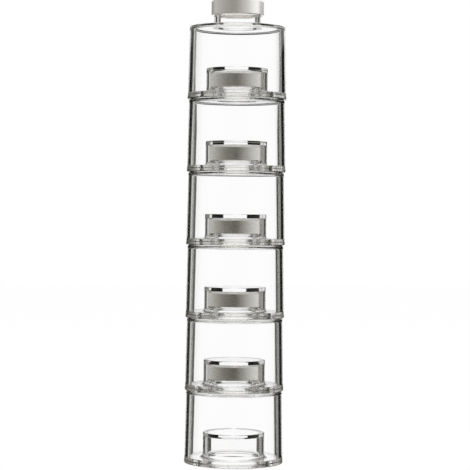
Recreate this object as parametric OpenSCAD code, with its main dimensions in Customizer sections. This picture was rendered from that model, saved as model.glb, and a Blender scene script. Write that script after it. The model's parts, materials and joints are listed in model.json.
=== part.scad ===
// Spice tower: a column of clear jars, each standing on the shoulder of the one below,
// with the lower jar's screw cap nested in a pocket moulded into the upper jar's base.
// Millimetres, +Z up, origin at the centre of the lowest jar's underside.

/* [Tower] */
// Number of jars in the column
jar_count = 6; // [1:1:8]

/* [Jar body] */
// Height of a jar from its underside to the top of its shoulder
jar_h = 48; // [40:0.5:70]
// Outer diameter of the wall where it meets the base
foot_d = 65; // [60:0.5:90]
// Lean of the wall that lets it leave the mould, in degrees
wall_draft = 1.1; // [0:0.1:2]
// Thickness of the wall
wall = 3; // [1.5:0.1:3.5]
// Thickness of the flat shoulder
shoulder_t = 1.3; // [1.2:0.1:4]
// Radius of the shoulder's outer edge
shoulder_round = 1.2; // [0.5:0.1:3]
// Radius inside the corner of wall and shoulder
corner_round = 1.4; // [0.3:0.1:2]

/* [Neck] */
// Height of the neck above the shoulder
neck_h = 14.4; // [12:0.1:18]
// Diameter of the collar that shows under the cap
collar_d = 31; // [26:0.5:34]
// Height of the collar above the shoulder
collar_h = 7; // [4:0.1:8]
// Step from the collar in to the neck that the cap screws on
collar_step = 0.7; // [0.3:0.1:1]
// Wall of the neck between its thread and the mouth
neck_wall = 2; // [1.2:0.1:3]
// Radius at the root of the neck
neck_root_round = 0.8; // [0.3:0.1:1.2]
// Radius of the lip and of the mouth's lower edge
lip_round = 0.5; // [0.2:0.1:0.8]

/* [Base] */
// Thickness of the base plate
base_t = 2.5; // [1.5:0.1:4]
// How far the base plate stands out from the wall
base_lip = 0.2; // [0:0.1:1]
// Radius of the base plate's edges
base_round = 0.6; // [0.2:0.1:0.7]
// Height of the plug that centres the base in the wall
plug_h = 1.5; // [1:0.1:4]
// Bond gap between the plug and the wall
plug_clear = 0.1; // [0.05:0.01:0.2]

/* [Pocket] */
// Thickness of the pocket's wall
pocket_wall = 2.55; // [1.5:0.05:3.5]
// Thickness of the pocket's roof
pocket_roof = 2.55; // [1.5:0.05:4]
// Gap between a nested cap and the pocket's wall
pocket_clear = 0.4; // [0.3:0.05:1]
// Gap between a nested cap and the pocket's roof
pocket_gap = 0.4; // [0.3:0.1:2]
// Radius at the foot of the pocket
pocket_foot_round = 2.2; // [0.3:0.1:3]
// Radius of the pocket's other edges
pocket_edge_round = 0.3; // [0.2:0.1:1]

/* [Cap] */
// Thickness of the spun metal shell
shell_t = 0.6; // [0.4:0.1:1]
// Radius of the shell's top edge
shell_round = 1.4; // [0.9:0.1:2]
// Radius of the shell's lower edge
shell_foot_round = 0.25; // [0.1:0.05:0.35]
// Wall of the plastic insert
insert_wall = 1.05; // [0.8:0.05:2]
// Roof of the plastic insert
insert_roof = 1.2; // [0.8:0.1:2]
// Running gap between the insert and the collar's diameter
insert_clear = 0.15; // [0.1:0.05:0.3]
// Glue gap between the shell and the insert
shell_clear = 0.05; // [0.03:0.01:0.1]
// Height of the cap's foot above the collar
skirt_gap = 0.5; // [0.3:0.1:1.5]
// Thickness of the sealing disc
seal_t = 1; // [0.6:0.1:2]
// Gap between the sealing disc and the insert
seal_clear = 0.3; // [0.2:0.1:0.8]

/* [Hidden] */
$fn = 96;
// Segments in each rounded edge of an outline
edge_steps = 6;

jar_names = ["body", "base", "seal", "cap_insert", "cap_shell"];

clear_colour = [0.86, 0.9, 0.91, 0.35];
metal_colour = [0.72, 0.71, 0.69];
insert_colour = [0.9, 0.88, 0.82];
seal_colour = [0.93, 0.91, 0.86];

// Wall of the jar: its outer and inner radius at a height
foot_r = foot_d / 2;
function wall_r(z) = foot_r - (z - base_t) * tan(wall_draft);
function bore_r(z) = wall_r(z) - wall;

// Neck and its closure, heights above the jar's underside
collar_r = collar_d / 2;
neck_r = collar_r - collar_step;
mouth_r = neck_r - neck_wall;
shoulder_under = jar_h - shoulder_t;
collar_top = jar_h + collar_h;
neck_top = jar_h + neck_h;
seal_top = neck_top + seal_t;
insert_top = seal_top + insert_roof;
cap_top = insert_top + shell_clear + shell_t;
cap_foot = collar_top + skirt_gap;
insert_foot = cap_foot + shell_t + shell_clear;

// Radii of the closure, from the collar outwards
insert_bore = collar_r + insert_clear;
insert_r = insert_bore + insert_wall;
shell_bore = insert_r + shell_clear;
cap_r = shell_bore + shell_t;
seal_r = insert_bore - seal_clear;
insert_round = shell_round - shell_t - shell_clear;

// Base plate and the pocket that takes the cap of the jar below
base_r = foot_r + base_lip;
plug_top = base_t + plug_h;
plug_r = bore_r(plug_top) - plug_clear;
pocket_r = cap_r + pocket_clear;
pocket_depth = cap_top - jar_h + pocket_gap;
pocket_out_r = pocket_r + pocket_wall;
pocket_top = pocket_depth + pocket_roof;

// Points along a circle's arc about centre c, between two angles
function arc(c, r, from, to) =
    [for (i = [0:edge_steps]) let (a = from + (to - from) * i / edge_steps) c + r * [cos(a), sin(a)]];

// Rounds the corner where a leaning wall of radius x_at meets a level plane at height z
function leaning_corner(x_at, z, r, from, to) =
    arc([x_at - r / cos(wall_draft), z - r], r, from, to);

// Clear moulding: leaning wall, flat shoulder with a rounded edge, and the stepped neck
module jar_body() {
    outer_x = wall_r(jar_h - shoulder_round);
    inner_x = bore_r(shoulder_under - corner_round);
    color(clear_colour) rotate_extrude() polygon(concat(
        [[foot_r, base_t]],
        leaning_corner(outer_x, jar_h, shoulder_round, wall_draft, 90),
        arc([collar_r + neck_root_round, jar_h + neck_root_round], neck_root_round, 270, 180),
        arc([collar_r - lip_round, collar_top - lip_round], lip_round, 0, 90),
        [[neck_r, collar_top]],
        arc([neck_r - lip_round, neck_top - lip_round], lip_round, 0, 90),
        arc([mouth_r + lip_round, neck_top - lip_round], lip_round, 90, 180),
        arc([mouth_r + lip_round, shoulder_under + lip_round], lip_round, 180, 270),
        leaning_corner(inner_x, shoulder_under, corner_round, 90, wall_draft),
        [[bore_r(base_t), base_t]]
    ));
}

// Clear moulding: base plate with the plug that fills the wall's foot, and the pocket raised in its middle
module jar_base() {
    color(clear_colour) rotate_extrude() polygon(concat(
        arc([base_r - base_round, base_round], base_round, 270, 360),
        arc([base_r - base_round, base_t - base_round], base_round, 0, 90),
        [[plug_r, base_t], [plug_r, plug_top]],
        arc([pocket_out_r + pocket_foot_round, plug_top + pocket_foot_round], pocket_foot_round, 270, 180),
        arc([pocket_out_r - pocket_edge_round, pocket_top - pocket_edge_round], pocket_edge_round, 0, 90),
        [[0, pocket_top], [0, pocket_depth]],
        arc([pocket_r - pocket_edge_round, pocket_depth - pocket_edge_round], pocket_edge_round, 90, 0),
        arc([pocket_r + pocket_edge_round, pocket_edge_round], pocket_edge_round, 180, 270)
    ));
}

// Soft disc between the neck's lip and the insert's roof
module seal() {
    color(seal_colour) translate([0, 0, neck_top]) cylinder(r = seal_r, h = seal_t);
}

// Plastic cup that screws on the neck and carries the metal shell
module cap_insert() {
    color(insert_colour) rotate_extrude() polygon(concat(
        [[insert_r, insert_foot]],
        arc([insert_r - insert_round, insert_top - insert_round], insert_round, 0, 90),
        [[0, insert_top], [0, seal_top], [insert_bore, seal_top], [insert_bore, insert_foot]]
    ));
}

// Spun metal shell with a rounded top edge, hemmed under the insert
module cap_shell() {
    top_centre = [cap_r - shell_round, cap_top - shell_round];
    color(metal_colour) rotate_extrude() polygon(concat(
        arc([cap_r - shell_foot_round, cap_foot + shell_foot_round], shell_foot_round, 270, 360),
        arc(top_centre, shell_round, 0, 90),
        [[0, cap_top], [0, cap_top - shell_t]],
        arc(top_centre, shell_round - shell_t, 90, 0),
        [[shell_bore, cap_foot + shell_t], [insert_bore, cap_foot + shell_t], [insert_bore, cap_foot]]
    ));
}

// One piece of a jar, by its name
module jar_piece(name) {
    if (name == "body") jar_body();
    if (name == "base") jar_base();
    if (name == "seal") seal();
    if (name == "cap_insert") cap_insert();
    if (name == "cap_shell") cap_shell();
}

// The column: each jar stands on the shoulder of the one below
for (jar = [1:jar_count], name = jar_names)
    translate([0, 0, (jar - 1) * jar_h]) jar_piece(name);
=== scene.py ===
"""Spice tower: clear stacking jars with brushed metal screw caps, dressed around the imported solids."""

import json
import math

import bmesh
import bpy
from bpy.props import FloatProperty, FloatVectorProperty, IntProperty, PointerProperty
from mathutils import Matrix, Vector

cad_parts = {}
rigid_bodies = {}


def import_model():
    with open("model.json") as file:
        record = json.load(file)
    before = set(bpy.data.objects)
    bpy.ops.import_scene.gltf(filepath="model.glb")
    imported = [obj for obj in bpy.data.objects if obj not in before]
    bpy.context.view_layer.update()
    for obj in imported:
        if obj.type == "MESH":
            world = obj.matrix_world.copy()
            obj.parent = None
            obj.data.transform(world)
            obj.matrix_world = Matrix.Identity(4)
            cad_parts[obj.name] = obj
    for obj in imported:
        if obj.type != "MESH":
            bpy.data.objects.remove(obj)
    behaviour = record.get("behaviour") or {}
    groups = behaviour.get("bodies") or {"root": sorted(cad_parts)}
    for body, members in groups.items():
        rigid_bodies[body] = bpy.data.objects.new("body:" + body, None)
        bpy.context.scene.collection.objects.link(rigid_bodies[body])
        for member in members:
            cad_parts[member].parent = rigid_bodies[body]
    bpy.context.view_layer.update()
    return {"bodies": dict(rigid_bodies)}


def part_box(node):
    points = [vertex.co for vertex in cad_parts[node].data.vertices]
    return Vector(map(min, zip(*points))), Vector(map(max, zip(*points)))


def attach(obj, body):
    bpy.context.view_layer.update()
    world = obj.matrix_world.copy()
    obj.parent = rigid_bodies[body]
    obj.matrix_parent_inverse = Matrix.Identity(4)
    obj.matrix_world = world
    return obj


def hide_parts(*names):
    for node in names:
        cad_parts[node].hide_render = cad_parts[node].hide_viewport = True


bl_info = {
    "name": "Spice Tower",
    "version": (1, 0, 0),
    "blender": (4, 5, 0),
    "location": "3D View > Sidebar > Spice Tower",
    "description": "Builds a column of clear stacking spice jars with brushed metal screw caps",
    "category": "Add Mesh",
}

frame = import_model()

MM = 0.001
# Number of jars, and the height from one to the next
JARS = sum(1 for body in frame["bodies"] if body.startswith("jar_"))
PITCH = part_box("jar_2_base")[0].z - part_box("jar_1_base")[0].z

# The lowest jar's solids give the sizes that show from outside.
BODY_LOW, BODY_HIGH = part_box("jar_1_body")
BASE_LOW, BASE_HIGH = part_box("jar_1_base")
SHELL_LOW, SHELL_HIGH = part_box("jar_1_cap_shell")
INSERT_LOW, INSERT_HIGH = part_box("jar_1_cap_insert")
SEAL_LOW, SEAL_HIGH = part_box("jar_1_seal")

# Each part of a jar: the body that it rides on, its slot and its material
PARTS = {
    "body": ("jar", "clear_plastic", "Clear Plastic"),
    "base": ("jar", "clear_plastic", "Clear Plastic"),
    "cap_shell": ("cap", "brushed_cap", "Brushed Metal"),
    "cap_insert": ("cap", "cap_plastic", "Insert Plastic"),
    "seal": ("seal", "seal_disc", "Seal Foam"),
}

# Lengths that differ by less than this are the same.
NEAR = 0.001 * MM
# A support point stands a quarter of the edge's radius beside a rounded edge, but at most this far.
SUPPORT_REACH = 0.1 * MM
# Extra rings along an upright that carries a thread, the angle in which the thread's ends run out, and the
# steepness of its flanks
THREAD_RINGS = 36
THREAD_FADE = math.radians(25)
THREAD_FLANK = 1.6

# Light bends in acrylic by this index, and is mirrored at a right angle by this share of acrylic's own gloss.
ACRYLIC_IOR = 1.49
ACRYLIC_GLOSS = 0.25
# Roughness that the weld adds to the polished plastic
WELD_ROUGHNESS = 0.15
# Grain of the weld, in lumps to the metre
WELD_GRAIN = 700
# From this far over a jar's lower end the plastic is its own foot, and below that the shoulder it stands on.
FOOT_SPLIT = 0.02 * MM

# The photograph's view: where the camera stands, what it looks at, and how far it is tipped
EYE = Vector((-0.00036, -1.17, 0.1637))
AIM = Vector((-0.00036, 0, 0.1505))
TIP = math.radians(0.58)
LENS = 135.4
SENSOR = 36

# So many bounces, because light crosses many walls in the column and is mirrored many times inside a wall
BOUNCES = 32
GLOSSY_BOUNCES = 16
# Side of the floor, and the share of plain white that the camera sees there instead of the lit floor
FLOOR_SIZE = 6
FLOOR_WHITE = 0.96
# Level of the studio's even light on what is dull
SOFT_LIGHT = 0.8
# Powers of red, green and blue in the studio's greys, which are warmer the darker they are
WARMTH = (0.97, 0.985, 1.08)

# A zone of the studio has two lists, left and right, of grey levels by degrees from the backdrop's middle.
# The white backdrop ends at a black flag on either side.
BACKDROP_LEFT = [(0, 1), (12.6, 1), (13.4, 0)]
BACKDROP_RIGHT = [(0, 1), (14.3, 1), (15.1, 0)]
# The studio on the camera's own side
FRONT_LEFT = [(73, 0.48), (100, 0.42), (120, 0.37), (139, 0.33), (157, 0.3), (174, 0.33)]
FRONT_RIGHT = [(115, 0.79), (134, 0.6), (152, 0.5), (169, 0.4), (180, 0.33)]

# What is mirrored in the open near eye level, and above it, where the free cap is
OPEN_SHINE = (
    BACKDROP_LEFT + [(35.5, 0), (40, 0.3), (56, 0.4), (64, 0.5)] + FRONT_LEFT,
    BACKDROP_RIGHT + [(35.5, 0), (40, 0.12), (66, 0.15), (74, 1), (93, 0.93)] + FRONT_RIGHT,
)
CAP_SHINE = (
    [(0, 0.45), (56, 0.52)] + FRONT_LEFT,
    [(0, 0.85), (66, 1), (74, 1), (93, 1)] + FRONT_RIGHT,
)
# What is mirrored behind a clear wall: the caps inside the jars, and the walls' own inner faces
NESTED_SHINE = (
    BACKDROP_LEFT + [(35.5, 0), (38, 0.65), (56, 0.58), (63, 0.57), (75, 0.5), (100, 0.37), (120, 0.27),
                     (139, 0.18), (157, 0.155), (174, 0.11)],
    BACKDROP_RIGHT + [(35.5, 0), (38, 0.33), (60, 0.27), (70, 0.82), (93, 0.7), (115, 0.57), (134, 0.41),
                      (152, 0.28), (169, 0.14), (180, 0.11)],
)
# Level above the caps inside the jars
NESTED_TOP = 0.65
# What is mirrored again and again inside a wall, the same on both sides
TRAPPED_SHINE = [(0, 1), (3, 1), (5, 0.02), (180, 0.02)]
# What is seen through the plastic: near eye level, above it and below it
SEEN_THROUGH = (
    BACKDROP_LEFT + [(35.5, 0), (37, 0.75), (42, 0.75), (44, 0.5), (54, 0.95), (64, 0.95), (67, 0.05),
                     (76, 0.03), (77, 1), (103, 1), (104, 0.03), (126, 0.03), (128, 0.5), (180, 0.4)],
    BACKDROP_RIGHT + [(35, 0), (36.5, 0.8), (42, 0.8), (44, 0.2), (57, 0.1), (120, 0.05), (121.5, 1),
                      (148.5, 1), (150, 0.05), (172, 0.05), (174, 0.4), (180, 0.4)],
)
SEEN_THROUGH_HIGH = (
    [(0, 0.03), (60, 0.03), (75, 0.45), (140, 0.28), (180, 0.35)],
    [(0, 0.03), (22, 0.03), (27, 1), (150, 0.3), (180, 0.35)],
)
SEEN_THROUGH_LOW = (
    [(0, 1), (66, 1), (74, 0.4), (130, 0.2), (180, 0.35)],
    [(0, 1), (100, 0.5), (110, 0.5), (116, 1), (154, 1), (160, 0.35), (180, 0.35)],
)

# Heights in degrees between which one zone gives way to the next
LOW_TO_MIDDLE = (-14, -12)
MIDDLE_TO_HIGH = (10, 12)
HIGH_TO_WHITE = (34, 38)
OPEN_TO_CAP = (6, 6.4)
NESTED_TO_TOP = (16, 24)
SHINE_TO_WHITE = (45, 55)
# The backdrop is this much wider on each side above these heights.
FLARE_RISE = (3, 5)
FLARE = math.radians(4)

# A count of reflections is a whole number, so these part one count from the next.
ONE_OR_MORE = 0.5
THREE_OR_MORE = 2.5


def length(name, description, default):
    """A size in metres, with its default given in millimetres."""
    return FloatProperty(name=name, description=description, default=default * MM, min=0, precision=5,
                         subtype="DISTANCE", unit="LENGTH")


def colour(name, description, default):
    """A colour without alpha."""
    return FloatVectorProperty(name=name, description=description, default=default, subtype="COLOR",
                               size=3, min=0, max=1)


class JarSizes(bpy.types.PropertyGroup):
    """Sizes of the two clear mouldings that make a jar"""

    draft: FloatProperty(name="Draft", description="Lean of the wall", default=math.radians(1.1),
                         subtype="ANGLE")
    wall: length("Wall", "Thickness of the wall", 3)
    shoulder: length("Shoulder", "Thickness of the flat shoulder", 1.3)
    shoulder_round: length("Shoulder edge", "Radius of the shoulder's outer edge", 1.2)
    corner_round: length("Inner corner", "Radius inside the corner of wall and shoulder", 1.4)
    collar: length("Collar radius", "Radius of the collar under the cap", 15.5)
    collar_height: length("Collar height", "Height of the collar above the shoulder", 7)
    neck: length("Neck radius", "Radius of the neck between the turns of its thread", 14.8)
    mouth: length("Mouth radius", "Radius of the mouth", 12.8)
    root_round: length("Neck root", "Radius at the root of the neck", 0.8)
    lip_round: length("Lip", "Radius of the lip and of the mouth's lower edge", 0.5)
    base_round: length("Base edge", "Radius of the base plate's edges", 0.6)
    plug: length("Plug", "Height of the plug that the base is welded in with", 1.5)
    pocket: length("Pocket radius", "Inner radius of the pocket", 17.75)
    pocket_wall: length("Pocket wall", "Thickness of the pocket's wall", 2.55)
    pocket_roof: length("Pocket roof", "Thickness of the pocket's roof", 2.55)
    pocket_foot: length("Pocket foot", "Radius at the foot of the pocket", 2.2)
    pocket_round: length("Pocket edge", "Radius of the pocket's other edges", 0.3)
    weld: length("Weld", "Height of the foot's rim that the weld leaves dull", 4.2)
    weld_depth: length("Weld depth", "How far that rim reaches in from the wall", 1)
    fine_round: length("Fine edge", "Radius of the edges that only break a corner", 0.15)
    seam: length("Seam", "Air left between mouldings that lie face to face", 0.03)


class CapSizes(bpy.types.PropertyGroup):
    """Sizes of a screw cap and of the thread under it"""

    shell: length("Shell", "Thickness of the metal shell", 0.6)
    shell_round: length("Top edge", "Radius of the shell's top edge", 1.4)
    foot_round: length("Lower edge", "Radius of the shell's lower edge", 0.25)
    fine_round: length("Fine edge", "Radius of the insert's and seal's edges", 0.2)
    bore: length("Insert bore", "Inner radius of the plastic insert", 15.65)
    lead: length("Thread lead", "Rise of the cap in one turn", 3)
    thread_height: length("Thread height", "How far the thread stands out", 0.5)
    thread_width: length("Thread width", "Width of the thread at its root", 1.3)
    thread_turns: FloatProperty(name="Thread turns", description="Turns of thread on the neck", default=1.6)


class TowerFinish(bpy.types.PropertyGroup):
    """Colours of the tower and the fineness of its meshes"""

    clear: colour("Clear plastic", "Tint of the clear mouldings", (1, 1, 1))
    weld: colour("Weld", "Tint of the clear mouldings where the base is welded in", (0.985, 0.975, 0.955))
    metal: colour("Brushed metal", "Colour of the cap shells", (0.97, 0.96, 0.94))
    insert: colour("Insert", "Colour of the plastic inserts", (0.92, 0.89, 0.82))
    seal: colour("Seal", "Colour of the sealing discs", (0.86, 0.83, 0.76))
    floor: colour("Floor", "Colour of the floor", (0.96, 0.96, 0.96))
    segments: IntProperty(name="Segments", description="Sides of a turned piece", default=128, min=32)
    edge_steps: IntProperty(name="Edge steps", description="Steps in a rounded edge", default=6, min=2)


def settings(context):
    """The jar's sizes, the cap's sizes and the tower's finish."""
    scene = context.scene
    return scene.jar_sizes, scene.cap_sizes, scene.tower_finish


def rounded(corners, steps):
    """Points along an outline of (radius, height, edge radius), with support points beside each round."""
    points = []
    for i, (r, z, edge) in enumerate(corners):
        here = Vector((r, z))
        if edge <= 0:
            points.append(here)
            continue
        to_last = Vector(corners[i - 1][:2]) - here
        to_next = Vector(corners[i + 1][:2]) - here
        opening = to_last.angle(to_next)
        to_last.normalize()
        to_next.normalize()
        reach = edge / math.tan(opening / 2)
        first = here + to_last * reach
        last = here + to_next * reach
        support = min(edge / 4, SUPPORT_REACH)
        centre = here + (to_last + to_next).normalized() * (edge / math.sin(opening / 2))
        start = first - centre
        sweep = start.angle_signed(last - centre)
        points.append(first + to_last * support)
        for step in range(steps + 1):
            points.append(centre + Matrix.Rotation(-sweep * step / steps, 2) @ start)
        points.append(last + to_next * support)
    return points


def turned(name, outlines, segments, swell=None):
    """A mesh object made by turning outlines about Z, each with its outside on the right of its way.

    swell(r, z, angle) moves a point in or out.
    """
    bm = bmesh.new()
    for points in outlines:
        rings = []
        for r, z in points:
            if r < NEAR:
                rings.append([bm.verts.new((0, 0, z))])
                continue
            ring = []
            for s in range(segments):
                angle = 2 * math.pi * s / segments
                reach = swell(r, z, angle) if swell else r
                ring.append(bm.verts.new((reach * math.cos(angle), reach * math.sin(angle), z)))
            rings.append(ring)
        for low, high in zip(rings, rings[1:]):
            for s in range(segments):
                t = (s + 1) % segments
                if len(low) == 1:
                    bm.faces.new((low[0], high[t], high[s]))
                elif len(high) == 1:
                    bm.faces.new((low[s], low[t], high[0]))
                else:
                    bm.faces.new((low[s], low[t], high[t], high[s]))
    for face in bm.faces:
        face.smooth = True
    mesh = bpy.data.meshes.new(name)
    bm.to_mesh(mesh)
    bm.free()
    piece = bpy.data.objects.new(name, mesh)
    bpy.context.scene.collection.objects.link(piece)
    return piece


def place(jar, part, outlines, segments, swell=None):
    """Turns a part of the lowest jar, lifts it to its own jar and puts it in place of that jar's solid."""
    body, slot, material_name = PARTS[part]
    piece = turned(f"tower_{part}_{jar}", outlines, segments, swell)
    piece.data.transform(Matrix.Translation((0, 0, (jar - 1) * PITCH)))
    piece.data.materials.append(bpy.data.materials[material_name])
    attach(piece, f"{body}_{jar}")
    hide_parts(f"jar_{jar}_{part}")


def spread(points, low, high):
    """Adds points along the straight upright between two heights, so that a thread can be raised there."""
    for i, (a, b) in enumerate(zip(points, points[1:])):
        upright = abs(a.x - b.x) < NEAR
        if upright and min(a.y, b.y) <= low and max(a.y, b.y) >= high:
            extra = [a.lerp(b, (s + 1) / (THREAD_RINGS + 1)) for s in range(THREAD_RINGS)]
            return points[:i + 1] + extra + points[i + 1:]
    raise ValueError("the outline has no upright between these heights")


def thread(cap, start, at_radius, sense):
    """A swell that raises a screw thread on the upright at one radius, outwards for 1 and inwards for -1."""
    half = cap.thread_width / 2
    full_turn = 2 * math.pi
    last = cap.thread_turns * full_turn

    def swell(r, z, angle):
        if abs(r - at_radius) > NEAR:
            return r
        height = 0
        for turn in range(math.ceil(cap.thread_turns) + 1):
            along = angle + turn * full_turn
            if along > last:
                break
            off = abs(z - start - cap.lead * along / full_turn) / half
            if off < 1:
                ends = min(1, along / THREAD_FADE, (last - along) / THREAD_FADE)
                height = max(height, ends * min(1, THREAD_FLANK * (1 - off)))
        return r + sense * cap.thread_height * height

    return swell


def thread_start(jar, cap):
    """Height at which the neck's thread starts, clear of the collar."""
    return PITCH + jar.collar_height + cap.thread_width / 2 + jar.fine_round


def node(tree, kind, at, **values):
    """A shader node of a kind, placed on the sheet, with its settings."""
    made = tree.nodes.new(kind)
    made.location = at
    for key, value in values.items():
        setattr(made, key, value)
    return made


def math_node(tree, operation, at, *inputs):
    """The result of a math node whose inputs are numbers or sockets."""
    made = node(tree, "ShaderNodeMath", at, operation=operation)
    for socket, value in zip(made.inputs, inputs):
        if isinstance(value, (int, float)):
            socket.default_value = value
        else:
            tree.links.new(value, socket)
    return made.outputs[0]


def noise(tree, at, spot, scale, detail, **values):
    """A noise node at a spot, with its scale and detail."""
    made = node(tree, "ShaderNodeTexNoise", at, **values)
    made.inputs["Scale"].default_value = scale
    made.inputs["Detail"].default_value = detail
    tree.links.new(spot, made.inputs["Vector"])
    return made


def about_axis(tree, at):
    """Sockets with a point's place, its offset from the axis, its distance from the axis and its height."""
    x, y = at
    spot = node(tree, "ShaderNodeTexCoord", (x, y))
    split = node(tree, "ShaderNodeSeparateXYZ", (x + 200, y))
    tree.links.new(spot.outputs["Object"], split.inputs[0])
    offset = node(tree, "ShaderNodeCombineXYZ", (x + 400, y))
    tree.links.new(split.outputs["X"], offset.inputs["X"])
    tree.links.new(split.outputs["Y"], offset.inputs["Y"])
    reach = node(tree, "ShaderNodeVectorMath", (x + 600, y), operation="LENGTH")
    tree.links.new(offset.outputs[0], reach.inputs[0])
    return spot.outputs["Object"], offset.outputs[0], reach.outputs["Value"], split.outputs["Z"]


def group(name, sockets):
    """A new shader node group with its named sockets, and its input and output nodes."""
    tree = bpy.data.node_groups.new(name, "ShaderNodeTree")
    for label, way, default in sockets:
        socket = tree.interface.new_socket(name=label, in_out=way, socket_type="NodeSocketFloat")
        if default is not None:
            socket.default_value = default
    return tree, node(tree, "NodeGroupInput", (-900, 0)), node(tree, "NodeGroupOutput", (700, 0))


def turned_lines():
    """Fine lines left round the axis by turning and brushing, which drift a little on their way round."""
    tree, given, out = group("Turned Lines", [
        ("Fineness", "INPUT", 9000.0),
        ("Drift", "INPUT", 1.5),
        ("Lines", "OUTPUT", None),
    ])
    _, offset, reach, height = about_axis(tree, (-900, -300))
    way = node(tree, "ShaderNodeVectorMath", (-340, -100), operation="NORMALIZE")
    tree.links.new(offset, way.inputs[0])
    slow = node(tree, "ShaderNodeVectorMath", (-160, -100), operation="SCALE")
    tree.links.new(way.outputs[0], slow.inputs[0])
    tree.links.new(given.outputs["Drift"], slow.inputs["Scale"])
    fine_r = math_node(tree, "MULTIPLY", (-160, -300), reach, given.outputs["Fineness"])
    fine_z = math_node(tree, "MULTIPLY", (-160, -480), height, given.outputs["Fineness"])
    lift = node(tree, "ShaderNodeCombineXYZ", (20, -300))
    tree.links.new(fine_r, lift.inputs["Z"])
    total = node(tree, "ShaderNodeVectorMath", (200, -200), operation="ADD")
    tree.links.new(slow.outputs[0], total.inputs[0])
    tree.links.new(lift.outputs[0], total.inputs[1])
    lines = noise(tree, (380, -100), total.outputs[0], scale=1, detail=2, noise_dimensions="4D")
    tree.links.new(fine_z, lines.inputs["W"])
    tree.links.new(lines.outputs["Fac"], out.inputs["Lines"])
    return tree


def handling():
    """Roughness of a smooth surface with the faint smears that handling leaves on it."""
    tree, given, out = group("Handling", [
        ("Size", "INPUT", 60.0),
        ("Low", "INPUT", 0.0),
        ("High", "INPUT", 0.05),
        ("Roughness", "OUTPUT", None),
    ])
    spot = node(tree, "ShaderNodeTexCoord", (-700, -200))
    smear = node(tree, "ShaderNodeTexNoise", (-500, -200))
    smear.inputs["Detail"].default_value = 4
    smear.inputs["Distortion"].default_value = 0.6
    tree.links.new(spot.outputs["Object"], smear.inputs["Vector"])
    tree.links.new(given.outputs["Size"], smear.inputs["Scale"])
    mask = node(tree, "ShaderNodeMapRange", (-250, -200), interpolation_type="SMOOTHSTEP")
    mask.inputs["From Min"].default_value = 0.5
    mask.inputs["From Max"].default_value = 0.8
    tree.links.new(smear.outputs["Fac"], mask.inputs["Value"])
    between = node(tree, "ShaderNodeMapRange", (100, -100))
    tree.links.new(mask.outputs["Result"], between.inputs["Value"])
    tree.links.new(given.outputs["Low"], between.inputs["To Min"])
    tree.links.new(given.outputs["High"], between.inputs["To Max"])
    tree.links.new(between.outputs["Result"], out.inputs["Roughness"])
    return tree


def place_group(tree, made, at, **values):
    """Puts a node group in a material with its own values."""
    placed = node(tree, "ShaderNodeGroup", at, node_tree=made)
    for key, value in values.items():
        placed.inputs[key].default_value = value
    return placed


def material(name):
    """A new material with its node tree and its Principled shader."""
    made = bpy.data.materials.new(name)
    made.use_nodes = True
    return made, made.node_tree, made.node_tree.nodes["Principled BSDF"]


def blend_colour(tree, at, factor, first, second):
    """A colour between two, by a factor."""
    mix = node(tree, "ShaderNodeMix", at, data_type="RGBA")
    mix.inputs["A"].default_value = (*first, 1)
    mix.inputs["B"].default_value = (*second, 1)
    tree.links.new(factor, mix.inputs["Factor"])
    return mix.outputs["Result"]


def darker(tint, share):
    """A share of a colour's lightness."""
    return tuple(value * share for value in tint)


def raise_surface(tree, at, shader, height, strength, distance):
    """A bump that lifts a shader's surface by a height."""
    bump = node(tree, "ShaderNodeBump", at)
    bump.inputs["Strength"].default_value = strength
    bump.inputs["Distance"].default_value = distance
    tree.links.new(height, bump.inputs["Height"])
    tree.links.new(bump.outputs["Normal"], shader.inputs["Normal"])


def show_mix(tree, at, factor, first, second):
    """Gives a material the mix of two shaders for its surface."""
    mix = node(tree, "ShaderNodeMixShader", at)
    tree.links.new(factor, mix.inputs[0])
    tree.links.new(first.outputs[0], mix.inputs[1])
    tree.links.new(second.outputs[0], mix.inputs[2])
    tree.links.new(mix.outputs[0], tree.nodes["Material Output"].inputs["Surface"])


def weld_mask(tree, jar):
    """A mask of the rim of each jar's foot, where the weld leaves the plastic dull, and its uneven grain."""
    spot, _, reach, height = about_axis(tree, (-1500, -500))
    above_split = math_node(tree, "SUBTRACT", (-1100, -250), height, FOOT_SPLIT)
    in_jar = math_node(tree, "MODULO", (-900, -250), above_split, PITCH)
    low = math_node(tree, "LESS_THAN", (-700, -250), in_jar, jar.weld)
    wide = math_node(tree, "GREATER_THAN", (-700, -500), reach, BODY_HIGH.x - jar.weld_depth)
    grain = noise(tree, (-900, -750), spot, scale=WELD_GRAIN, detail=2)
    return math_node(tree, "MULTIPLY", (-500, -350), low, wide), grain.outputs["Fac"]


def clear_plastic(jar, tint, weld, smears):
    """Polished clear plastic, dull along the weld, that lets lamps and soft light straight through."""
    _, tree, shader = material("Clear Plastic")
    shader.inputs["Transmission Weight"].default_value = 1
    shader.inputs["IOR"].default_value = ACRYLIC_IOR
    shader.inputs["Specular Tint"].default_value = (ACRYLIC_GLOSS, ACRYLIC_GLOSS, ACRYLIC_GLOSS, 1)
    mask, grain = weld_mask(tree, jar)
    tree.links.new(blend_colour(tree, (-300, 250), mask, tint, weld), shader.inputs["Base Color"])
    marks = place_group(tree, smears, (-500, -100), Size=55.0, Low=0.0, High=0.02)
    dull = math_node(tree, "MULTIPLY_ADD", (-250, -100), mask, WELD_ROUGHNESS, marks.outputs["Roughness"])
    tree.links.new(dull, shader.inputs["Roughness"])
    uneven = math_node(tree, "MULTIPLY", (-300, -600), mask, grain)
    raise_surface(tree, (-100, -600), shader, uneven, strength=0.6, distance=0.2 * MM)
    path = node(tree, "ShaderNodeLightPath", (0, 500)).outputs
    soft = math_node(tree, "MAXIMUM", (200, 400), path["Is Shadow Ray"], path["Is Diffuse Ray"])
    straight = node(tree, "ShaderNodeBsdfTransparent", (100, -450))
    show_mix(tree, (400, 200), soft, shader, straight)


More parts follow.
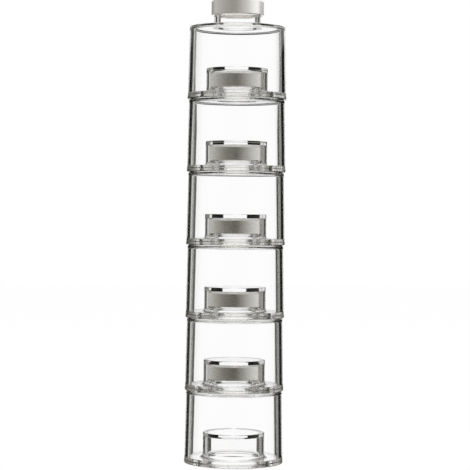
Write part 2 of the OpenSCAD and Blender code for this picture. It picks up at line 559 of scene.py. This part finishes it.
def brushed_metal(tint, lines, smears):
    """Aluminium brushed round its axis."""
    _, tree, shader = material("Brushed Metal")
    shader.inputs["Metallic"].default_value = 1
    shader.inputs["Anisotropic"].default_value = 0.8
    shader.inputs["Anisotropic Rotation"].default_value = 0.25
    round_axis = node(tree, "ShaderNodeTangent", (-500, -500), direction_type="RADIAL", axis="Z")
    tree.links.new(round_axis.outputs[0], shader.inputs["Tangent"])
    brushing = place_group(tree, lines, (-800, 100), Fineness=9000.0, Drift=1.5).outputs["Lines"]
    tint_of = blend_colour(tree, (-400, 250), brushing, darker(tint, share=0.9), tint)
    tree.links.new(tint_of, shader.inputs["Base Color"])
    marks = place_group(tree, smears, (-800, -200), Size=70.0, Low=0.22, High=0.28)
    rough = math_node(tree, "MULTIPLY_ADD", (-300, -100), brushing, 0.1, marks.outputs["Roughness"])
    tree.links.new(rough, shader.inputs["Roughness"])
    raise_surface(tree, (-300, -350), shader, brushing, strength=0.12, distance=0.05 * MM)


def moulded_plastic(name, tint, smears, grain_size, low, high):
    """Matte moulded plastic or foam with a fine grain, and its roughness from low to high."""
    _, tree, shader = material(name)
    spot = node(tree, "ShaderNodeTexCoord", (-900, 0))
    grain = noise(tree, (-700, 0), spot.outputs["Object"], scale=grain_size, detail=3).outputs["Fac"]
    tint_of = blend_colour(tree, (-350, 200), grain, darker(tint, share=0.92), tint)
    tree.links.new(tint_of, shader.inputs["Base Color"])
    marks = place_group(tree, smears, (-500, -150), Size=40.0, Low=low, High=high)
    tree.links.new(marks.outputs["Roughness"], shader.inputs["Roughness"])
    raise_surface(tree, (-300, -350), shader, grain, strength=0.15, distance=0.05 * MM)


def wall_radius(jar, z):
    """Outer radius of the leaning wall at a height."""
    return BODY_HIGH.x - (z - BODY_LOW.z) * math.tan(jar.draft)


def floor_height(jar):
    """Height of a jar's floor, the top of the plug that its base is welded in with."""
    return BODY_LOW.z + jar.plug


def body_outline(jar, steps):
    """Outline of the clear body, up the outside and down the inside, open where the base is welded in."""
    foot = BODY_LOW.z
    top = PITCH
    under = top - jar.shoulder
    floor = floor_height(jar)
    collar_top = top + jar.collar_height
    lip = BODY_HIGH.z
    points = rounded([
        (wall_radius(jar, foot), foot, 0),
        (wall_radius(jar, top), top, jar.shoulder_round),
        (jar.collar, top, jar.root_round),
        (jar.collar, collar_top, jar.lip_round),
        (jar.neck, collar_top, jar.fine_round),
        (jar.neck, lip, jar.lip_round),
        (jar.mouth, lip, jar.lip_round),
        (jar.mouth, under, jar.lip_round),
        (wall_radius(jar, under) - jar.wall, under, jar.corner_round),
        (wall_radius(jar, floor) - jar.wall, floor, 0),
    ], steps)
    return spread(points, collar_top + jar.lip_round * 2, lip - jar.lip_round * 2)


def base_outlines(jar, steps):
    """Outlines of the clear base: its underside with the pocket, and the floor with the pocket's outside."""
    plate = BODY_LOW.z
    floor = floor_height(jar)
    low = BASE_LOW.z + jar.seam
    roof = BASE_HIGH.z
    out = jar.pocket + jar.pocket_wall
    ceiling = roof - jar.pocket_roof
    underside = rounded([
        (0, ceiling, 0),
        (jar.pocket, ceiling, jar.pocket_round),
        (jar.pocket, low, jar.pocket_round),
        (BASE_HIGH.x, low, jar.base_round),
        (BASE_HIGH.x, plate, jar.base_round),
        (wall_radius(jar, plate), plate, 0),
    ], steps)
    inside = rounded([
        (wall_radius(jar, floor) - jar.wall, floor, 0),
        (out, floor, jar.pocket_foot),
        (out, roof, jar.pocket_round),
        (0, roof, 0),
    ], steps)
    return [underside, inside]


def shell_outline(cap, steps):
    """Outline of the metal shell, from the middle of its inside outwards, round the hem and over the top."""
    inside = SHELL_HIGH.x - cap.shell
    ceiling = SHELL_HIGH.z - cap.shell
    hem = SHELL_LOW.z + cap.shell
    return rounded([
        (0, ceiling, 0),
        (inside, ceiling, cap.shell_round - cap.shell),
        (inside, hem, 0),
        (cap.bore, hem, 0),
        (cap.bore, SHELL_LOW.z, cap.foot_round),
        (SHELL_HIGH.x, SHELL_LOW.z, cap.foot_round),
        (SHELL_HIGH.x, SHELL_HIGH.z, cap.shell_round),
        (0, SHELL_HIGH.z, 0),
    ], steps)


def insert_outline(cap, steps):
    """Outline of the plastic insert, with points along its bore for the thread."""
    roof = SEAL_HIGH.z
    points = rounded([
        (0, roof, 0),
        (cap.bore, roof, cap.fine_round),
        (cap.bore, INSERT_LOW.z, cap.fine_round),
        (INSERT_HIGH.x, INSERT_LOW.z, cap.fine_round),
        (INSERT_HIGH.x, INSERT_HIGH.z, cap.shell_round - cap.shell),
        (0, INSERT_HIGH.z, 0),
    ], steps)
    return spread(points, INSERT_LOW.z + cap.fine_round * 2, roof - cap.fine_round * 2)


def seal_outline(jar, cap, steps):
    """Outline of the sealing disc, with a seam of air under and over it."""
    foot = SEAL_LOW.z + jar.seam
    top = SEAL_HIGH.z - jar.seam
    return rounded([
        (0, foot, 0),
        (SEAL_HIGH.x, foot, cap.fine_round),
        (SEAL_HIGH.x, top, cap.fine_round),
        (0, top, 0),
    ], steps)


class TOWER_OT_finishes(bpy.types.Operator):
    """Make the materials of the tower"""

    bl_idname = "tower.finishes"
    bl_label = "Make Finishes"

    def execute(self, context):
        jar, _, finish = settings(context)
        smears = handling()
        clear_plastic(jar, finish.clear, finish.weld, smears)
        brushed_metal(finish.metal, turned_lines(), smears)
        moulded_plastic("Insert Plastic", finish.insert, smears, grain_size=900, low=0.4, high=0.55)
        moulded_plastic("Seal Foam", finish.seal, smears, grain_size=2500, low=0.7, high=0.85)
        return {"FINISHED"}


class TOWER_OT_bodies(bpy.types.Operator):
    """Turn the clear bodies with their threaded necks"""

    bl_idname = "tower.bodies"
    bl_label = "Make Bodies"

    def execute(self, context):
        jar, cap, finish = settings(context)
        outlines = [body_outline(jar, finish.edge_steps)]
        swell = thread(cap, thread_start(jar, cap), jar.neck, 1)
        for number in range(1, JARS + 1):
            place(number, "body", outlines, finish.segments, swell)
        return {"FINISHED"}


class TOWER_OT_bases(bpy.types.Operator):
    """Turn the clear bases with their pockets"""

    bl_idname = "tower.bases"
    bl_label = "Make Bases"

    def execute(self, context):
        jar, _, finish = settings(context)
        outlines = base_outlines(jar, finish.edge_steps)
        for number in range(1, JARS + 1):
            place(number, "base", outlines, finish.segments)
        return {"FINISHED"}


class TOWER_OT_caps(bpy.types.Operator):
    """Turn the metal shells and the threaded inserts of the caps"""

    bl_idname = "tower.caps"
    bl_label = "Make Caps"

    def execute(self, context):
        jar, cap, finish = settings(context)
        shell = [shell_outline(cap, finish.edge_steps)]
        insert = [insert_outline(cap, finish.edge_steps)]
        # The insert's thread runs in the middle between two turns of the neck's.
        swell = thread(cap, thread_start(jar, cap) + cap.lead / 2, cap.bore, -1)
        for number in range(1, JARS + 1):
            place(number, "cap_shell", shell, finish.segments)
            place(number, "cap_insert", insert, finish.segments, swell)
        return {"FINISHED"}


class TOWER_OT_seals(bpy.types.Operator):
    """Turn the sealing discs"""

    bl_idname = "tower.seals"
    bl_label = "Make Seals"

    def execute(self, context):
        jar, cap, finish = settings(context)
        outlines = [seal_outline(jar, cap, finish.edge_steps)]
        for number in range(1, JARS + 1):
            place(number, "seal", outlines, finish.segments)
        return {"FINISHED"}


def warm_grey(level):
    """The studio's grey of a level from 0, black, to 1, plain white."""
    return *(level ** power for power in WARMTH), 1


class Studio:
    """The studio's grey levels by direction, on a world's node sheet."""

    def __init__(self, tree):
        self.tree = tree
        self.path = node(tree, "ShaderNodeLightPath", (-400, 1600)).outputs
        way = node(tree, "ShaderNodeTexCoord", (-1400, 0))
        split = node(tree, "ShaderNodeSeparateXYZ", (-1200, 0))
        tree.links.new(way.outputs["Generated"], split.inputs[0])
        tilt = math_node(tree, "ARCSINE", (-820, -350), split.outputs["Z"])
        self.rise = math_node(tree, "DEGREES", (-640, -350), tilt)
        self.on_right = math_node(tree, "GREATER_THAN", (-640, 0), split.outputs["X"], 0)
        aside = math_node(tree, "ABSOLUTE", (-1000, 200), split.outputs["X"])
        turn = math_node(tree, "ARCTAN2", (-820, 200), aside, split.outputs["Y"])
        flare = self.above((-820, 400), FLARE_RISE, FLARE)
        narrowed = math_node(tree, "SUBTRACT", (-640, 400), turn, flare)
        self.share = math_node(tree, "DIVIDE", (-460, 300), narrowed, math.pi)

    def above(self, at, rise, most=1):
        """A value that grows from 0 to most between two heights."""
        made = node(self.tree, "ShaderNodeMapRange", at)
        low, high = rise
        made.inputs["From Min"].default_value = low
        made.inputs["From Max"].default_value = high
        made.inputs["To Max"].default_value = most
        self.tree.links.new(self.rise, made.inputs["Value"])
        return made.outputs["Result"]

    def ramp(self, at, stops):
        """Grey levels by the angle from the backdrop's middle, the same on both sides."""
        made = node(self.tree, "ShaderNodeValToRGB", at)
        elements = made.color_ramp.elements
        for degrees, level in stops[1:-1]:
            elements.new(degrees / 180).color = warm_grey(level)
        for stop, (degrees, level) in ((elements[0], stops[0]), (elements[-1], stops[-1])):
            stop.position = degrees / 180
            stop.color = warm_grey(level)
        self.tree.links.new(self.share, made.inputs[0])
        return made.outputs["Color"]

    def blend(self, at, factor, first, second):
        """A mix of two, each a socket or a level of its own."""
        made = node(self.tree, "ShaderNodeMix", at, data_type="RGBA")
        self.tree.links.new(factor, made.inputs["Factor"])
        for socket, value in ((made.inputs["A"], first), (made.inputs["B"], second)):
            if isinstance(value, (int, float)):
                socket.default_value = warm_grey(value)
            else:
                self.tree.links.new(value, socket)
        return made.outputs["Result"]

    def zone(self, at, levels):
        """A zone's levels on the left and on the right of the backdrop."""
        x, y = at
        left, right = levels
        return self.blend((x + 300, y), self.on_right, self.ramp((x, y + 120), left),
                          self.ramp((x, y - 120), right))

    def seen_through(self):
        """What the plastic shows of the studio without mirroring it."""
        middle = self.zone((-400, 400), SEEN_THROUGH)
        high = self.zone((-400, -100), SEEN_THROUGH_HIGH)
        low = self.zone((-400, -1100), SEEN_THROUGH_LOW)
        upper = self.blend((350, 250), self.above((-700, -1050), MIDDLE_TO_HIGH), middle, high)
        crowned = self.blend((550, 150), self.above((-700, -1550), HIGH_TO_WHITE), upper, 1)
        return self.blend((750, 150), self.above((-700, -1800), LOW_TO_MIDDLE), low, crowned)

    def mirrored(self):
        """What is mirrored of the studio: in the open, behind a clear wall, or many times inside one."""
        shine = self.zone((-400, 1900), OPEN_SHINE)
        cap_shine = self.zone((-400, 1400), CAP_SHINE)
        nested = self.zone((-400, 900), NESTED_SHINE)
        trapped = self.ramp((-400, -600), TRAPPED_SHINE)
        outside = self.blend((0, 2100), self.above((-700, -2300), OPEN_TO_CAP), shine, cap_shine)
        inside = self.blend((0, 1100), self.above((-700, -2550), NESTED_TO_TOP), nested, NESTED_TOP)
        level = self.blend((150, 1600), self.path["Is Transmission Ray"], outside, inside)
        again = math_node(self.tree, "GREATER_THAN", (150, 1300), self.path["Glossy Depth"], THREE_OR_MORE)
        kept = self.blend((300, 1300), again, level, trapped)
        return self.blend((350, 900), self.above((-700, -2050), SHINE_TO_WHITE), kept, 1)


def studio_world(scene):
    """Soft even light, and for what shines or is seen through: a white backdrop between dark flags."""
    world = bpy.data.worlds.new("Studio")
    scene.world = world
    world.use_nodes = True
    world.cycles.sampling_method = "NONE"
    tree = world.node_tree
    tree.nodes.clear()
    studio = Studio(tree)
    path = studio.path
    bounced = math_node(tree, "GREATER_THAN", (550, 700), path["Glossy Depth"], ONE_OR_MORE)
    seen = studio.blend((900, 500), bounced, studio.seen_through(), studio.mirrored())
    # Only what shines or is clear shows the zones. What is dull gets even light, and the camera sees white.
    shiny = math_node(tree, "MAXIMUM", (550, -250), path["Is Glossy Ray"], path["Is Transmission Ray"])
    direct = math_node(tree, "LESS_THAN", (550, -450), path["Diffuse Depth"], ONE_OR_MORE)
    pattern = math_node(tree, "MULTIPLY", (750, -300), shiny, direct)
    lit = studio.blend((950, 50), pattern, SOFT_LIGHT, seen)
    shown = studio.blend((1100, 50), path["Is Camera Ray"], lit, 1)
    background = node(tree, "ShaderNodeBackground", (1250, 0))
    tree.links.new(shown, background.inputs["Color"])
    out = node(tree, "ShaderNodeOutputWorld", (1400, 0))
    tree.links.new(background.outputs[0], out.inputs["Surface"])


def pale_floor(tint):
    """A pale floor that the camera sees as white, with the tower's soft shadow left on it."""
    made, tree, shader = material("Pale Floor")
    shader.inputs["Base Color"].default_value = (*tint, 1)
    shader.inputs["Roughness"].default_value = 0.9
    path = node(tree, "ShaderNodeLightPath", (-400, 300)).outputs
    white = math_node(tree, "MULTIPLY", (-200, 500), path["Is Camera Ray"], FLOOR_WHITE)
    glow = node(tree, "ShaderNodeEmission", (-100, 350))
    show_mix(tree, (300, 300), white, shader, glow)
    return made


def lamp(scene, name, at, aim, size, power):
    """A square soft lamp that points at a place, and isn't mirrored or seen through the plastic itself."""
    data = bpy.data.lights.new(name, "AREA")
    data.size = size
    data.energy = power
    made = bpy.data.objects.new(name, data)
    made.location = at
    made.rotation_euler = (Vector(aim) - Vector(at)).to_track_quat("-Z", "Y").to_euler()
    made.visible_glossy = False
    made.visible_transmission = False
    scene.collection.objects.link(made)


class TOWER_OT_stage(bpy.types.Operator):
    """Set the floor, the soft light and the camera"""

    bl_idname = "tower.stage"
    bl_label = "Set Stage"

    def execute(self, context):
        scene = context.scene
        scene.view_settings.view_transform = "Standard"
        scene.cycles.max_bounces = BOUNCES
        scene.cycles.transmission_bounces = BOUNCES
        scene.cycles.glossy_bounces = GLOSSY_BOUNCES
        studio_world(scene)

        bpy.ops.mesh.primitive_plane_add(size=FLOOR_SIZE, location=(0, 0, 0))
        floor = context.object
        floor.name = "stage_floor"
        floor.data.materials.append(pale_floor(scene.tower_finish.floor))
        floor.visible_transmission = False
        floor.visible_glossy = False

        middle = (0, 0, PITCH * JARS / 2)
        lamp(scene, "lamp_right", at=(0.9, -0.7, 0.8), aim=middle, size=0.6, power=6)
        lamp(scene, "lamp_top", at=(0, 0.1, 1.3), aim=middle, size=0.7, power=6)

        data = bpy.data.cameras.new("camera")
        data.sensor_width = SENSOR
        data.lens = LENS
        camera = bpy.data.objects.new("camera", data)
        camera.location = EYE
        level_view = (AIM - EYE).to_track_quat("-Z", "Y").to_matrix()
        camera.rotation_euler = (level_view @ Matrix.Rotation(TIP, 3, "Z")).to_euler()
        scene.collection.objects.link(camera)
        scene.camera = camera
        return {"FINISHED"}


OPERATORS = (TOWER_OT_finishes, TOWER_OT_bodies, TOWER_OT_bases, TOWER_OT_caps, TOWER_OT_seals,
             TOWER_OT_stage)


class TOWER_PT_panel(bpy.types.Panel):
    """Sizes, finishes and steps of the spice tower"""

    bl_idname = "TOWER_PT_panel"
    bl_label = "Spice Tower"
    bl_space_type = "VIEW_3D"
    bl_region_type = "UI"
    bl_category = "Spice Tower"

    def draw(self, context):
        for values in settings(context):
            box = self.layout.box()
            for key in values.__annotations__:
                box.prop(values, key)
        for operator in OPERATORS:
            self.layout.operator(operator.bl_idname)


GROUPS = {"jar_sizes": JarSizes, "cap_sizes": CapSizes, "tower_finish": TowerFinish}
CLASSES = (*GROUPS.values(), *OPERATORS, TOWER_PT_panel)


def register():
    for made in CLASSES:
        bpy.utils.register_class(made)
    for name, made in GROUPS.items():
        setattr(bpy.types.Scene, name, PointerProperty(type=made))


def unregister():
    for name in GROUPS:
        delattr(bpy.types.Scene, name)
    for made in reversed(CLASSES):
        bpy.utils.unregister_class(made)


def main():
    register()
    bpy.ops.tower.finishes()
    bpy.ops.tower.bodies()
    bpy.ops.tower.bases()
    bpy.ops.tower.caps()
    bpy.ops.tower.seals()
    bpy.ops.tower.stage()


if __name__ == "__main__":
    main()
